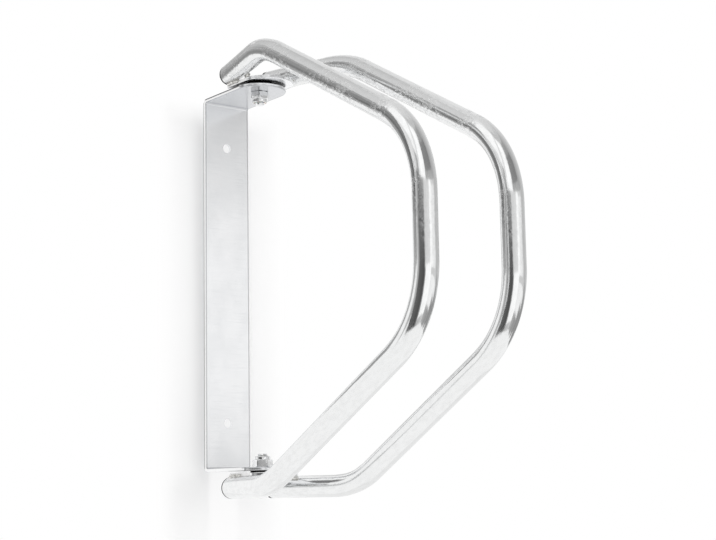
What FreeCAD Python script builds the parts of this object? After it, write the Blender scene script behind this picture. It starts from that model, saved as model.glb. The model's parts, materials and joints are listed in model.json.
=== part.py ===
import FreeCAD, Part
import math
import os

# Wall-mounted bike rack. A bracket of bent strip is screwed to the wall, and two bent tube hoops,
# welded to two small plates, swivel on it about one vertical axis through two bolts.
# The wall is the plane y = 0 and the rack stands out from it towards -y. The origin is the middle
# of the bracket's back, z is up and x is to the right. Sizes are in millimetres.

# Wall bracket, bent from flat strip
BRACKET_HEIGHT = 287.6       # over the outsides of the two flanges
STRIP_WIDTH = 40.0
STRIP_THICKNESS = 2.5
STRIP_BEND = 1.5             # inside radius of the two bends
STRIP_EDGE_ROUND = 0.6       # softened long edges
PIVOT_FROM_WALL = 49.0
WALL_HOLE = 7.0              # diameter of the two screw holes
WALL_HOLE_SPACING = 214.0

# Pivot bolts and lock nuts
BOLT_DIAMETER = 8.0
BOLT_HEAD_HEIGHT = 5.3
BOLT_END_CHAMFER = 0.8
BOLT_PAST_NUT = 1.8
HEX_WALL = 2.5               # from the bolt's surface to the flats of its head and nut
HEX_CHAMFER_INSET = 0.26     # from the flats to the round top face
HEX_CHAMFER_SLOPE = 30.0     # degrees
NUT_HEX_HEIGHT = 5.8
INSERT_WALL = 0.85           # nylon ring in the nut's collar
INSERT_HEIGHT = 1.6
COLLAR_WALL = 0.75           # steel round the nylon ring
COLLAR_HEIGHT = 2.2
COLLAR_ROUND = 0.6
HEAD_TURN = 12.0             # degrees, where each hexagon happened to stop
UPPER_NUT_TURN = 55.0
LOWER_NUT_TURN = 23.0

# Swivel plates, one outside each flange
SWIVEL_WIDTH = 40.0
SWIVEL_THICKNESS = 2.5
SWIVEL_FRONT = 30.0          # from the pivot to the tip of the round front end
SWIVEL_BACK = 16.0           # from the pivot to the square back end
SWIVEL_CORNER = 3.0
SWIVEL_EDGE_ROUND = 0.5

# Slide washers, one between each flange and its swivel plate
WASHER_WALL = 5.0            # from the bolt's hole to the washer's outside
WASHER_THICKNESS = 1.2

# Hoops
TUBE_DIAMETER = 16.0
TUBE_WALL = 1.5
HOOP_REACH = 291.0           # from the wall to the front of the uprights
HOOP_BEND = 65.0             # radius of the tube's middle line in every bend
UPRIGHT_HEIGHT = 119.0       # between the two front bend points
FIRST_BEND_OUT = 63.0        # from the pivot to the first bend point, away from the wall
SLOT_AT_FIRST_BEND = 60.0    # clear width for the wheel
SLOT_AT_UPRIGHTS = 57.0
TUBE_OVERHANG = 1.4          # tube's middle line past the swivel plate's edge, beside the pivot
TUBE_PAST_PIVOT = 13.0       # straight end of the tube towards the wall

# End plugs
PLUG_RIM_THICKNESS = 2.2
PLUG_RIM_ROUND = 0.4
PLUG_DEPTH = 10.0

# Weld beads between the tubes and the swivel plates
OUTER_BEAD_RADIUS = 2.0
OUTER_BEAD_SETBACK = 0.5     # from the tube's end to the bead's back end
OUTER_BEAD_FRONT = 1.0       # from the pivot away from the wall
OUTER_BEAD_OFFSET = 0.5      # past the plate's edge
OUTER_BEAD_RISE = 0.2        # above the plate's face
INNER_BEAD_RADIUS = 2.2
INNER_BEAD_START = 3.0       # from the pivot away from the wall
INNER_BEAD_END = 13.0
INNER_BEAD_STANDOFF = 0.9    # from the tube's flank to the bead's middle line
INNER_BEAD_RISE = 1.2

# Clearances
PIVOT_CLEARANCE = 0.07       # radial, bolt in its holes
HINGE_GAP = 0.2              # slide washer to swivel plate, and bolt head to swivel plate
THREAD_CLEARANCE = 0.05      # radial, nut and nylon ring on the bolt
RING_CLEARANCE = 0.05        # nylon ring in its collar
PLUG_CLEARANCE = 0.05        # radial, plug in the tube
SEAT_GAP = 0.05              # tube on the swivel plate

# Places worked out from the sizes
PIVOT_Y = -PIVOT_FROM_WALL
TUBE_RADIUS = TUBE_DIAMETER / 2
FLANGE_INSIDE = BRACKET_HEIGHT / 2 - STRIP_THICKNESS
WASHER_TOP = BRACKET_HEIGHT / 2 + WASHER_THICKNESS
PLATE_BOTTOM = WASHER_TOP + HINGE_GAP
PLATE_TOP = PLATE_BOTTOM + SWIVEL_THICKNESS
TUBE_LEVEL = PLATE_TOP + SEAT_GAP + TUBE_RADIUS
PIVOT_HOLE_RADIUS = BOLT_DIAMETER / 2 + PIVOT_CLEARANCE
THREAD_HOLE_RADIUS = BOLT_DIAMETER / 2 + THREAD_CLEARANCE
HEX_FLATS = BOLT_DIAMETER + 2 * HEX_WALL
INSERT_RADIUS = THREAD_HOLE_RADIUS + INSERT_WALL
COLLAR_RADIUS = INSERT_RADIUS + RING_CLEARANCE + COLLAR_WALL
NUT_HEIGHT = NUT_HEX_HEIGHT + COLLAR_HEIGHT
END_SPREAD = SWIVEL_WIDTH / 2 + TUBE_OVERHANG
FIRST_BEND_SPREAD = SLOT_AT_FIRST_BEND / 2 + TUBE_RADIUS
UPRIGHT_SPREAD = SLOT_AT_UPRIGHTS / 2 + TUBE_RADIUS
UPRIGHT_Y = TUBE_RADIUS - HOOP_REACH

HEX_SIDES = 6
SIDES = {"left": -1, "right": 1}
LEVELS = {"upper": 1, "lower": -1}
NUT_TURNS = {"upper": UPPER_NUT_TURN, "lower": LOWER_NUT_TURN}
UP = FreeCAD.Vector(0, 0, 1)
MIDDLE = FreeCAD.Vector(0, 0, 0)


def point(x, y, z):
    return FreeCAD.Vector(x, y, z)


def at_level(shape, level):
    """A piece made for the upper pivot, or its mirror image for the lower one."""
    if LEVELS[level] > 0:
        return shape
    return shape.mirror(MIDDLE, UP)


def rounded_path(corners, radius):
    """Straight runs through the corners, joined by tangent arcs."""
    edges = []
    start = corners[0]
    for before, corner, after in zip(corners, corners[1:], corners[2:]):
        back = (before - corner).normalize()
        ahead = (after - corner).normalize()
        half_turn = (math.pi - back.getAngle(ahead)) / 2
        setback = radius * math.tan(half_turn)
        arc_start = corner + back * setback
        arc_end = corner + ahead * setback
        inward = (back + ahead).normalize()
        arc_middle = corner + inward * (radius / math.cos(half_turn) - radius)
        edges.append(Part.LineSegment(start, arc_start).toShape())
        edges.append(Part.Arc(arc_start, arc_middle, arc_end).toShape())
        start = arc_end
    edges.append(Part.LineSegment(start, corners[-1]).toShape())
    return Part.Wire(edges)


def sweep(path, section):
    """Solid of a closed section carried along a path."""
    return path.makePipeShell([section], True, False)


def round_bar(start, end, radius):
    """Cylinder from one point to another."""
    along = end - start
    return Part.makeCylinder(radius, along.Length, start, along)


def drill(shape, radius, start, end):
    return shape.cut(round_bar(start, end, radius))


def runs_upright(edge):
    along = edge.tangentAt(edge.FirstParameter)
    return abs(along.z) > abs(along.x) + abs(along.y)


def strip_rim(strip):
    """Long edges of the strip, along both of its faces and round the flange ends."""
    rim = []
    for edge in strip.Edges:
        ends = edge.Vertexes[-1].Point - edge.Vertexes[0].Point
        straight = isinstance(edge.Curve, Part.Line)
        across_width = straight and abs(ends.y) + abs(ends.z) < STRIP_EDGE_ROUND
        across_thickness = straight and ends.Length < STRIP_THICKNESS + STRIP_EDGE_ROUND
        if not across_width and not across_thickness:
            rim.append(edge)
    return rim


def wall_bracket():
    """Strip bent to a C, with round flange ends, wall holes and pivot holes."""
    half_width = STRIP_WIDTH / 2
    flange_tip = PIVOT_Y - half_width
    level = BRACKET_HEIGHT / 2 - STRIP_THICKNESS / 2
    back = -STRIP_THICKNESS / 2
    corners = [point(0, flange_tip, level), point(0, back, level),
               point(0, back, -level), point(0, flange_tip, -level)]
    section = Part.makePolygon([
        point(-half_width, flange_tip, BRACKET_HEIGHT / 2),
        point(half_width, flange_tip, BRACKET_HEIGHT / 2),
        point(half_width, flange_tip, FLANGE_INSIDE),
        point(-half_width, flange_tip, FLANGE_INSIDE),
        point(-half_width, flange_tip, BRACKET_HEIGHT / 2)])
    strip = sweep(rounded_path(corners, STRIP_BEND + STRIP_THICKNESS / 2), section)

    foot = -BRACKET_HEIGHT / 2
    tip_block = Part.makeBox(STRIP_WIDTH, half_width, BRACKET_HEIGHT, point(-half_width, flange_tip, foot))
    round_end = Part.makeCylinder(half_width, BRACKET_HEIGHT, point(0, PIVOT_Y, foot))
    strip = strip.cut(tip_block.cut(round_end))
    strip = strip.makeFillet(STRIP_EDGE_ROUND, strip_rim(strip))

    strip = drill(strip, PIVOT_HOLE_RADIUS, point(0, PIVOT_Y, foot), point(0, PIVOT_Y, -foot))
    for height in (WALL_HOLE_SPACING / 2, -WALL_HOLE_SPACING / 2):
        strip = drill(strip, WALL_HOLE / 2, point(0, 0, height), point(0, -STRIP_THICKNESS, height))
    return strip


def swivel_plate():
    """Upper plate: square back end with soft corners, round front end, pivot hole."""
    half_width = SWIVEL_WIDTH / 2
    back_end = PIVOT_Y + SWIVEL_BACK
    round_centre = PIVOT_Y - SWIVEL_FRONT + half_width
    length = back_end - round_centre
    corner = point(-half_width, round_centre, PLATE_BOTTOM)
    block = Part.makeBox(SWIVEL_WIDTH, length, SWIVEL_THICKNESS, corner)
    corners = [edge for edge in block.Edges if runs_upright(edge) and edge.CenterOfMass.y > PIVOT_Y]
    block = block.makeFillet(SWIVEL_CORNER, corners)
    front = Part.makeCylinder(half_width, SWIVEL_THICKNESS, point(0, round_centre, PLATE_BOTTOM))
    plate = block.fuse(front).removeSplitter()
    outline = [edge for edge in plate.Edges if not runs_upright(edge)]
    plate = plate.makeFillet(SWIVEL_EDGE_ROUND, outline)
    return drill(plate, PIVOT_HOLE_RADIUS, point(0, PIVOT_Y, PLATE_BOTTOM), point(0, PIVOT_Y, PLATE_TOP))


def slide_washer():
    """Upper washer, on top of the flange."""
    bottom = point(0, PIVOT_Y, BRACKET_HEIGHT / 2)
    top = point(0, PIVOT_Y, WASHER_TOP)
    return drill(round_bar(bottom, top, PIVOT_HOLE_RADIUS + WASHER_WALL), PIVOT_HOLE_RADIUS, bottom, top)


def hexagon(height, turn):
    """Upright hexagonal prism on the origin, with the corners of its top chamfered."""
    corner_radius = HEX_FLATS / 2 / math.cos(math.pi / HEX_SIDES)
    corners = []
    for step in range(HEX_SIDES + 1):
        angle = math.radians(turn) + 2 * math.pi * step / HEX_SIDES
        corners.append(point(corner_radius * math.cos(angle), corner_radius * math.sin(angle), 0))
    prism = Part.Face(Part.makePolygon(corners)).extrude(UP * height)
    top_radius = HEX_FLATS / 2 - HEX_CHAMFER_INSET
    base_radius = top_radius + height / math.tan(math.radians(HEX_CHAMFER_SLOPE))
    return prism.common(Part.makeCone(base_radius, top_radius, height))


def pivot_bolt():
    """Upper bolt: head above the swivel plate, end below the lock nut."""
    seat = PLATE_TOP + HINGE_GAP
    end = FLANGE_INSIDE - NUT_HEIGHT - BOLT_PAST_NUT
    head = hexagon(BOLT_HEAD_HEIGHT, HEAD_TURN)
    head.translate(point(0, PIVOT_Y, seat))
    shank = round_bar(point(0, PIVOT_Y, end), point(0, PIVOT_Y, seat), BOLT_DIAMETER / 2)
    tip = [edge for edge in shank.Edges if abs(edge.CenterOfMass.z - end) < BOLT_END_CHAMFER / 2]
    return head.fuse(shank.makeChamfer(BOLT_END_CHAMFER, tip)).removeSplitter()


def lock_nut(turn):
    """Upper nut, hanging under the flange, with a collar for the nylon ring."""
    collar = Part.makeCylinder(COLLAR_RADIUS, NUT_HEIGHT)
    rim = [edge for edge in collar.Edges if abs(edge.CenterOfMass.z - NUT_HEIGHT) < COLLAR_ROUND / 2]
    nut = hexagon(NUT_HEX_HEIGHT, turn).fuse(collar.makeFillet(COLLAR_ROUND, rim)).removeSplitter()
    nut = drill(nut, THREAD_HOLE_RADIUS, MIDDLE, UP * NUT_HEIGHT)
    recess = UP * (NUT_HEIGHT - INSERT_HEIGHT - RING_CLEARANCE)
    nut = drill(nut, INSERT_RADIUS + RING_CLEARANCE, recess, UP * NUT_HEIGHT)
    return hang_under_flange(nut)


def nut_insert():
    """Nylon ring at the end of the upper nut's collar."""
    ring = round_bar(UP * (NUT_HEIGHT - INSERT_HEIGHT), UP * NUT_HEIGHT, INSERT_RADIUS)
    return hang_under_flange(drill(ring, THREAD_HOLE_RADIUS, MIDDLE, UP * NUT_HEIGHT))


def hang_under_flange(shape):
    """Turns an upright piece over and puts it under the upper flange, at the pivot."""
    turned = shape.mirror(MIDDLE, UP)
    turned.translate(point(0, PIVOT_Y, FLANGE_INSIDE))
    return turned


def splay(side):
    """Level direction of a tube's upper end, from the pivot towards the first bend."""
    return point(SIDES[side] * (FIRST_BEND_SPREAD - END_SPREAD), -FIRST_BEND_OUT, 0).normalize()


def beside_pivot(side, outward):
    """Point of a tube's upper middle line, a distance from the pivot away from the wall."""
    along = splay(side)
    return point(SIDES[side] * END_SPREAD, PIVOT_Y, TUBE_LEVEL) + along * (outward / -along.y)


def hoop_path(side):
    """Middle line of one hoop, from its upper end round to its lower end."""
    sign = SIDES[side]
    upper = [beside_pivot(side, -TUBE_PAST_PIVOT),
             point(sign * FIRST_BEND_SPREAD, PIVOT_Y - FIRST_BEND_OUT, TUBE_LEVEL),
             point(sign * UPRIGHT_SPREAD, UPRIGHT_Y, UPRIGHT_HEIGHT / 2)]
    lower = [point(corner.x, corner.y, -corner.z) for corner in reversed(upper)]
    return rounded_path(upper + lower, HOOP_BEND)


def hoop(side):
    """Bent tube, open at both ends."""
    path = hoop_path(side)
    end = beside_pivot(side, -TUBE_PAST_PIVOT)
    outside = Part.Wire(Part.makeCircle(TUBE_RADIUS, end, splay(side)))
    inside = Part.Wire(Part.makeCircle(TUBE_RADIUS - TUBE_WALL, end, splay(side)))
    return sweep(path, outside).cut(sweep(path, inside))


def end_plug(side):
    """Plug in the upper end of a tube, with a rim as wide as the tube."""
    end = beside_pivot(side, -TUBE_PAST_PIVOT)
    along = splay(side)
    rim_end = end - along * PLUG_RIM_THICKNESS
    rim = round_bar(rim_end, end, TUBE_RADIUS)
    outer_edge = [edge for edge in rim.Edges if (edge.CenterOfMass - rim_end).Length < PLUG_RIM_THICKNESS / 2]
    body = round_bar(end, end + along * PLUG_DEPTH, TUBE_RADIUS - TUBE_WALL - PLUG_CLEARANCE)
    return rim.makeFillet(PLUG_RIM_ROUND, outer_edge).fuse(body).removeSplitter()


def bead(start, end, radius, side, plate):
    """Weld metal along a line, kept to what lies outside the tube and the plate."""
    metal = round_bar(start, end, radius)
    for ball in (start, end):
        metal = metal.fuse(Part.makeSphere(radius, ball))
    tube_start = beside_pivot(side, -TUBE_PAST_PIVOT)
    first_run = round_bar(tube_start, beside_pivot(side, FIRST_BEND_OUT), TUBE_RADIUS)
    return metal.removeSplitter().cut(first_run).cut(plate)


def outer_weld(side, plate):
    """Bead along the edge of the upper swivel plate, behind the pivot."""
    across = SIDES[side] * (SWIVEL_WIDTH / 2 + OUTER_BEAD_OFFSET)
    level = PLATE_TOP + OUTER_BEAD_RISE
    back = PIVOT_Y + TUBE_PAST_PIVOT - OUTER_BEAD_SETBACK - OUTER_BEAD_RADIUS
    start = point(across, back, level)
    end = point(across, PIVOT_Y - OUTER_BEAD_FRONT, level)
    return bead(start, end, OUTER_BEAD_RADIUS, side, plate)


def inner_weld(side, plate):
    """Bead on the wheel side of a tube's upper end, in front of the pivot."""
    along = splay(side)
    inward = point(along.y, -along.x, 0) * SIDES[side]
    drop = TUBE_LEVEL - PLATE_TOP - INNER_BEAD_RISE
    reach = TUBE_RADIUS + INNER_BEAD_STANDOFF
    shift = inward * math.sqrt(reach * reach - drop * drop) - UP * drop
    start = beside_pivot(side, INNER_BEAD_START) + shift
    end = beside_pivot(side, INNER_BEAD_END) + shift
    return bead(start, end, INNER_BEAD_RADIUS, side, plate)


def build():
    """All pieces by node name."""
    nodes = {"wall_bracket": wall_bracket()}
    plate = swivel_plate()
    for level in LEVELS:
        nodes[level + "_swivel_plate"] = at_level(plate, level)
        nodes[level + "_slide_washer"] = at_level(slide_washer(), level)
        nodes[level + "_pivot_bolt"] = at_level(pivot_bolt(), level)
        nodes[level + "_lock_nut"] = at_level(lock_nut(NUT_TURNS[level]), level)
        nodes[level + "_nut_insert"] = at_level(nut_insert(), level)
    for side in SIDES:
        nodes[side + "_hoop"] = hoop(side)
        for level in LEVELS:
            name = side + "_" + level
            nodes[name + "_plug"] = at_level(end_plug(side), level)
            nodes[name + "_outer_weld"] = at_level(outer_weld(side, plate), level)
            nodes[name + "_inner_weld"] = at_level(inner_weld(side, plate), level)
    return nodes


os.makedirs("parts", exist_ok=True)
for name, shape in build().items():
    shape.exportStep("parts/" + name + ".step")
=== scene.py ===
"""Wall-mounted bike rack: bent tube hoops, weld beads, bolts, nuts, finishes and a white studio."""
import json
import math
import random
from collections import namedtuple

import bmesh
import bpy
from bpy.props import FloatProperty, FloatVectorProperty, IntProperty, PointerProperty
from mathutils import Matrix, Quaternion, Vector


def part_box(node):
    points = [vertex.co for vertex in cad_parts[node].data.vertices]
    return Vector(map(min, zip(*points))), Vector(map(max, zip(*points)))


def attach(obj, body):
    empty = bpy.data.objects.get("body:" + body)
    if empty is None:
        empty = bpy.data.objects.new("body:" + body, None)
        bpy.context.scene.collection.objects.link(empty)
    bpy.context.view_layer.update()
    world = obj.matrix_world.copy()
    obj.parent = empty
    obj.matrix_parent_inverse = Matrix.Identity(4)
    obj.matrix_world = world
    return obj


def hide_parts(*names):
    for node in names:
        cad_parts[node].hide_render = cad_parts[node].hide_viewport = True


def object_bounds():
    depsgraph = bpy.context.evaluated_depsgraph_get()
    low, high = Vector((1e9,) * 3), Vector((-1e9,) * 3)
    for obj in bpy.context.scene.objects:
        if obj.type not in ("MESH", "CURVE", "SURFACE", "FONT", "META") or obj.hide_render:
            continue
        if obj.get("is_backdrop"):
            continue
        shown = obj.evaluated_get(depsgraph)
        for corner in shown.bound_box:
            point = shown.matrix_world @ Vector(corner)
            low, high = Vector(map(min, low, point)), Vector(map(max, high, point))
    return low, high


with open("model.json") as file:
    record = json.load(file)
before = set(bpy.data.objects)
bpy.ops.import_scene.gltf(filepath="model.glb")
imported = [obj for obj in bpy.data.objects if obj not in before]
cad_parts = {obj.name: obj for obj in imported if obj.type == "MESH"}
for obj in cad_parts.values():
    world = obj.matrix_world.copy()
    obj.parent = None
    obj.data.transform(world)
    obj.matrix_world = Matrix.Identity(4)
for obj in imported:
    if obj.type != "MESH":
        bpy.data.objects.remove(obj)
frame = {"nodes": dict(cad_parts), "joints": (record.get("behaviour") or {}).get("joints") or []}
CAD_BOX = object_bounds()

bl_info = {
    "name": "Wall-Mounted Bike Rack",
    "version": (1, 0, 0),
    "blender": (4, 5, 0),
    "location": "3D View > Sidebar > Bike Rack",
    "description": "Gives the bike rack its bent tubes, welds, fasteners, zinc finishes and white studio",
    "category": "Object",
}

# Names and places that come from the frame. Lengths are in metres, and the wall is the plane y = 0
LEVELS = {"upper": 1, "lower": -1}
SIDES = {"left": -1, "right": 1}
FIXED = "bracket"
SWINGING = "swing_frame"
PIVOT_Y = frame["joints"][0]["pos_m"][1]
PLATE_LOW, PLATE_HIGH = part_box("upper_swivel_plate")
HOOP_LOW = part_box("left_hoop")[0]
STRIP_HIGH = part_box("wall_bracket")[1]
NUT_LOW, NUT_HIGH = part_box("upper_lock_nut")
BOLT_LOW, BOLT_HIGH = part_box("upper_pivot_bolt")
INSERT_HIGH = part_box("upper_nut_insert")[1]
MIDDLE = (CAD_BOX[0] + CAD_BOX[1]) / 2

MM = 0.001
UP = Vector((0, 0, 1))
RIGHT = Vector((1, 0, 0))

# Shapes of the weld beads, threads, hexagons and lock nuts
BEAD_SWAYS = 4
SWAY_TURN = 2.3
RIPPLE_LAG = 0.5
OUTER_CREST_DROP = 0.35
INNER_CREST_RISE = 0.8
THREAD_STEEPNESS = 1.6
HEX_SIDES = 6
CHAMFER_SLOPE = math.tan(math.radians(30))
RECESS_CLEARANCE = 0.05 * MM

# Fineness of the meshes, with the rows and columns of the grids
CREASE_ANGLE = math.radians(35)
BEAD_SIDES = 20
FEWEST_BEAD_RINGS = 12
RINGS_PER_RIPPLE = 8
RINGS_PER_THREAD_TURN = 10
CHAMFER_STEPS = 8
COLLAR_STEPS = 6
WALL_GRID = (40, 58)
FLOOR_GRID = (24, 60)
CARD_GRID = (8, 16)

# Bands on the strip, from where each begins and is full to where it fades and ends, in millimetres past the
# strip's side, back or outside, or past the swivel plate's back end
# Painted dark reflection along the rounded side edges of the strip
RIM_REFLECTION_BAND = (-1.5, -0.9, -0.7, -0.45)
# Painted shade on the undersides of the flanges
FLANGE_SHADE_BAND = (-4, -2.7, -2, -1)
# Painted black shade on the flanges in the gap under the swivel plates
SEAT_SHADE_BAND = (-0.25, -0.05, 0.2, (PLATE_LOW.z - STRIP_HIGH.z) / MM - 0.2)
SEAT_SHADE_END = (-1, 0)
# Slit edges, which carry a painted highlight and painted corner shade
EDGE_START = (-0.3, -0.1)
# Painted shade along the back of the slit edges and the upper flange's outside corner
CORNER_SHADE_START = (-1.2, -0.8)
CORNER_SHADE_END = (0.1, 0.3)

# Heights in millimetres between which the flecks on the tubes set in
FLECK_START = (-40, 80)

# Shares of bare zinc, with the rest under a pale film; on the slit edges that pale share carries a painted
# highlight
BARE_STRIP = 0.75
BARE_PLATE = 1.0
BARE_EDGE = 0.1

# Distances of the cards that stand nearer than the rest
NEAR = 0.375
NEAREST = 0.25

# Places along a tube's middle line, and cards of the studio
Station = namedtuple("Station", "place along inward bend wrinkle distance")
Card = namedtuple("Card", "name azimuths elevations greys distance", defaults=(1.0,))

# Cards on a wide dome that show only in the metal, shaded from their first azimuth to their second.
# Azimuths and elevations are in degrees, with azimuth 0 in front of the rack and 90 to its right.
# A card's distance is a share of the dome's radius
CARDS = (
    Card("overhead_card", (-180, 180), (80, 90), (0.76, 0.76)),
    Card("front_high_card", (-62, 70), (68, 80), (0.58, 0.62)),
    Card("right_high_card", (70, 232), (68, 80), (0.72, 0.82)),
    Card("left_high_card", (-128, -62), (70, 80), (0.98, 0.68)),
    Card("left_top_softbox", (-124, -74), (36, 70), (1.08, 1.12)),
    Card("left_seam", (-74, -62), (28, 68), (0.78, 0.84)),
    Card("front_left_softbox", (-62, -26), (20, 64), (1.16, 1.10)),
    Card("front_top_flag", (-22, 42), (29, 54), (0.28, 0.24)),
    Card("front_top_fade", (-16, 42), (54, 68), (0.42, 0.36)),
    Card("front_top_edge", (-26, 42), (20, 29), (0.46, 0.46)),
    Card("right_top_card", (42, 128), (20, 68), (0.41, 0.80)),
    Card("back_top_card", (128, 168), (34, 68), (0.86, 0.76)),
    Card("back_left_top_card", (168, 232), (37, 68), (0.56, 0.72)),
    Card("back_left_low_flag", (-180, -122), (6, 12), (0.44, 0.32), NEAR),
    Card("back_left_flag", (-180, -122), (12, 20), (0.34, 0.10), NEAR),
    Card("back_left_middle_flag", (-180, -122), (20, 26), (0.42, 0.22), NEAR),
    Card("back_left_high_flag", (-180, -122), (20, 28), (0.58, 0.18)),
    Card("back_left_top_flag", (-180, -122), (28, 37), (0.62, 0.34)),
    Card("left_grey_card", (-122, -101), (-12, 18), (0.60, 0.33)),
    Card("left_pale_card", (-120, -92), (20, 36), (0.84, 0.80)),
    Card("left_low_flag", (-101, -54), (-48, 10), (0.14, 0.08)),
    Card("left_flag_edge", (-54, -43), (-50, -1), (0.06, 0.42)),
    Card("left_high_flag", (-101, -54), (10, 20), (0.21, 0.40)),
    Card("left_upper_flag", (-92, -75), (20, 31), (0.45, 0.50)),
    Card("front_edge_card", (-54, -46), (-1, 20), (0.30, 0.70)),
    Card("front_grey_card", (-46, -4), (1, 20), (0.70, 0.82)),
    Card("front_streak", (-4, 15), (1, 20), (1.12, 1.08)),
    Card("right_front_card", (15, 58), (15, 20), (0.80, 0.56)),
    Card("right_middle_card", (15, 44), (-3, 15), (0.98, 0.90)),
    Card("right_middle_edge", (44, 58), (-3, 15), (0.78, 0.54)),
    Card("right_card", (58, 128), (-3, 20), (0.52, 0.72)),
    Card("back_right_card", (150, 180), (0, 34), (0.80, 0.40)),
    Card("front_low_softbox", (-43, 2), (-43, 1), (1.06, 1.14)),
    Card("right_low_softbox", (2, 46), (-34, -9), (0.96, 1.00)),
    Card("right_low_end", (46, 70), (-20, -9), (1.02, 0.74)),
    Card("right_low_grey_card", (6, 62), (-9, -3), (0.68, 0.66)),
    Card("far_right_low_card", (62, 130), (-9, -3), (0.46, 0.22)),
    Card("back_right_low_card", (108, 180), (-62, -10), (0.88, 0.92), NEAREST),
    Card("front_skirt", (-43, 2), (-52, -43), (0.45, 0.70)),
    Card("right_front_skirt", (2, 46), (-51, -34), (0.50, 0.30)),
    Card("right_skirt", (46, 70), (-44, -20), (0.40, 0.26)),
    Card("side_skirt", (70, 108), (-34, -9), (0.34, 0.29)),
)


# Settings in the sidebar

def number(name, description, default, **kind):
    """A number with its unit or its limits."""
    return FloatProperty(name=name, description=description, default=default, **kind)


def length(name, description, millimetres):
    """A size or a place."""
    return number(name, description, millimetres * MM, unit="LENGTH", precision=5)


def share(name, description, default):
    """A number from 0 to 1."""
    return number(name, description, default, min=0, max=1, subtype="FACTOR")


def angle(name, description, degrees):
    """A turn."""
    return number(name, description, math.radians(degrees), subtype="ANGLE")


def colour(name, description, default):
    """A linear colour."""
    return FloatVectorProperty(name=name, description=description, default=default, subtype="COLOR",
                               size=3, min=0, max=1)


def group(kind, name):
    """A group of settings, described as its class is."""
    return PointerProperty(type=kind, name=name, description=kind.__doc__)


class HoopSizes(bpy.types.PropertyGroup):
    """Sizes of the two bent tubes"""

    tube_diameter: length("Tube diameter", "Outside of the tube", 15.98)
    tube_wall: length("Tube wall", "Thickness of the tube's wall", 1.5)
    reach: length("Reach", "From the wall to the front of the uprights", -HOOP_LOW.y / MM)
    bend_radius: length("Bend radius", "Middle line of the tube in every bend", 65)
    upright_height: length("Upright height", "Between the two front bend points", 119)
    first_bend_out: length("First bend", "From the pivot to the first bend point, away from the wall", 63)
    slot_at_first_bend: length("Slot at first bend", "Clear width for the wheel", 60)
    slot_at_uprights: length("Slot at uprights", "Clear width for the wheel", 57)
    overhang: length("Overhang", "Tube's middle line past the swivel plate's edge", 1.4)
    past_pivot: length("Past pivot", "Straight end of the tube towards the wall", 13)
    seat_gap: length("Seat gap", "Between the tube and the swivel plate", 0.06)
    bend_flat: length("Bend flattening", "How far the outside of a bend is drawn in", 0.25)
    wrinkle: length("Bend wrinkle", "Height of the swelling inside each end of a bend", 0.22)
    wrinkle_length: length("Wrinkle length", "Half length of that swelling along the tube", 5.5)
    ring_step: length("Ring spacing", "Between two rings of the tube's mesh", 2.6)
    sides: IntProperty(name="Sides", description="Corners of the tube's section", default=44, min=12)


class WeldSizes(bpy.types.PropertyGroup):
    """Sizes of the weld beads"""

    outer_radius: length("Outer bead radius", "Bead between a plate's edge and a tube", 2.0)
    outer_setback: length("Outer bead setback", "From the tube's end to the bead's back end", 0.5)
    outer_front: length("Outer bead front", "From the pivot to the bead's front end", 1.0)
    outer_offset: length("Outer bead offset", "Bead's middle line past the plate's edge", 0.5)
    outer_rise: length("Outer bead rise", "Bead's middle line above the plate", 0.2)
    inner_radius: length("Inner bead radius", "Bead on the wheel side of the right tube", 2.0)
    left_inner_radius: length("Left inner bead radius", "Bead on the wheel side of the left tube", 1.25)
    inner_start: length("Inner bead start", "From the pivot, away from the wall", 9)
    inner_end: length("Inner bead end", "From the pivot, away from the wall", 13.5)
    inner_standoff: length("Inner bead standoff", "From the tube's flank to the bead's middle line", 0.9)
    inner_rise: length("Inner bead rise", "Bead's middle line above the plate", 1.2)
    ripple_pitch: length("Ripple pitch", "Between two ripples of a bead", 1.7)
    ripple_height: share("Ripple height", "Height of a ripple as a share of the bead's radius", 0.13)
    wander: share("Wander", "How far a bead strays, as a share of its radius", 0.12)
    seed: IntProperty(name="Seed", description="Start of the random draws for the beads", default=7)


class FastenerSizes(bpy.types.PropertyGroup):
    """Sizes of the pivot bolts and lock nuts"""

    thread_diameter: length("Thread diameter", "Outside of the bolt's thread", 7.96)
    thread_pitch: length("Thread pitch", "Between two turns of the thread", 1.25)
    thread_depth: length("Thread depth", "From the crest of the thread to its root", 0.65)
    thread_length: length("Thread length", "Threaded end of the bolt", 12)
    flats: length("Across flats", "Between opposite sides of a hexagon", 12.98)
    chamfer_inset: length("Chamfer inset", "From the flats to a hexagon's round face", 0.3)
    head_height: length("Head height", "Thickness of the bolt's head", 5.3)
    end_chamfer: length("End chamfer", "Bevel at the bolt's end", 0.8)
    nut_hex_height: length("Nut hexagon", "Height of the nut's hexagon", 5.8)
    nut_bore: length("Nut bore", "Diameter of the hole in the nut", 8.1)
    collar_radius: length("Collar radius", "Outside of the nut's collar", 5.68)
    collar_round: length("Collar rounding", "Round edge of the nut's collar", 0.6)
    head_turn: angle("Head turn", "Where the bolt heads stopped", 12)
    upper_nut_turn: angle("Upper nut turn", "Where the upper nut stopped", 55)
    lower_nut_turn: angle("Lower nut turn", "Where the lower nut stopped", 23)
    sides: IntProperty(name="Sides", description="Corners of the round shapes", default=96, min=24)


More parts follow.
